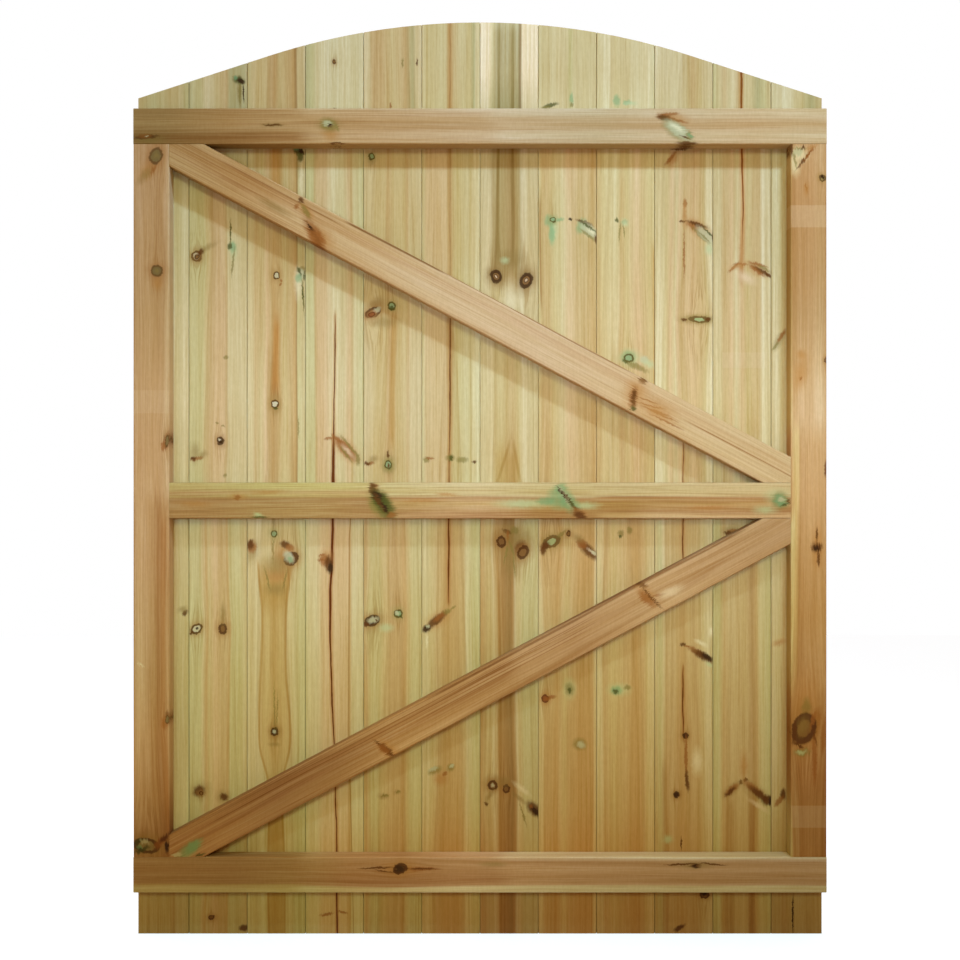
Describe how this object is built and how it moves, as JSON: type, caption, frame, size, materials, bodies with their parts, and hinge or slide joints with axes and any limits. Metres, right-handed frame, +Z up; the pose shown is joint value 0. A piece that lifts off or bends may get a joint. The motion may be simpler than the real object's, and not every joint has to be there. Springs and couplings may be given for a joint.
{
  "type": "arch top garden gate leaf",
  "caption": "Arch-topped timber garden gate leaf: vertical matched boards on a framed, ledged and braced back, hung from its left stile.",
  "frame": {"origin": "centre of the hanging stile's outer edge, halfway up the stile and in the middle of its depth", "axes": "+Z up the leaf, -X out of the hanging stile's edge towards the post, +Y out of the boarded face, with the frame on the -Y side"},
  "size_m": [1.35, 0.061, 1.8],
  "materials": {
    "board_01": "planed softwood",
    "board_02": "planed softwood",
    "board_03": "planed softwood",
    "board_04": "planed softwood",
    "board_05": "planed softwood",
    "board_06": "planed softwood",
    "board_07": "planed softwood",
    "board_08": "planed softwood",
    "board_09": "planed softwood",
    "board_10": "planed softwood",
    "board_11": "planed softwood",
    "board_12": "planed softwood",
    "hanging_stile": "planed softwood",
    "closing_stile": "planed softwood",
    "top_rail": "planed softwood",
    "middle_rail": "planed softwood",
    "bottom_rail": "planed softwood",
    "upper_brace": "planed softwood",
    "lower_brace": "planed softwood"
  },
  "bodies": {
    "root": {"board_01": "board_01", "board_02": "board_02", "board_03": "board_03", "board_04": "board_04", "board_05": "board_05", "board_06": "board_06", "board_07": "board_07", "board_08": "board_08", "board_09": "board_09", "board_10": "board_10", "board_11": "board_11", "board_12": "board_12", "hanging_stile": "hanging_stile", "closing_stile": "closing_stile", "top_rail": "top_rail", "middle_rail": "middle_rail", "bottom_rail": "bottom_rail", "upper_brace": "upper_brace", "lower_brace": "lower_brace"}
  },
  "joints": []
}
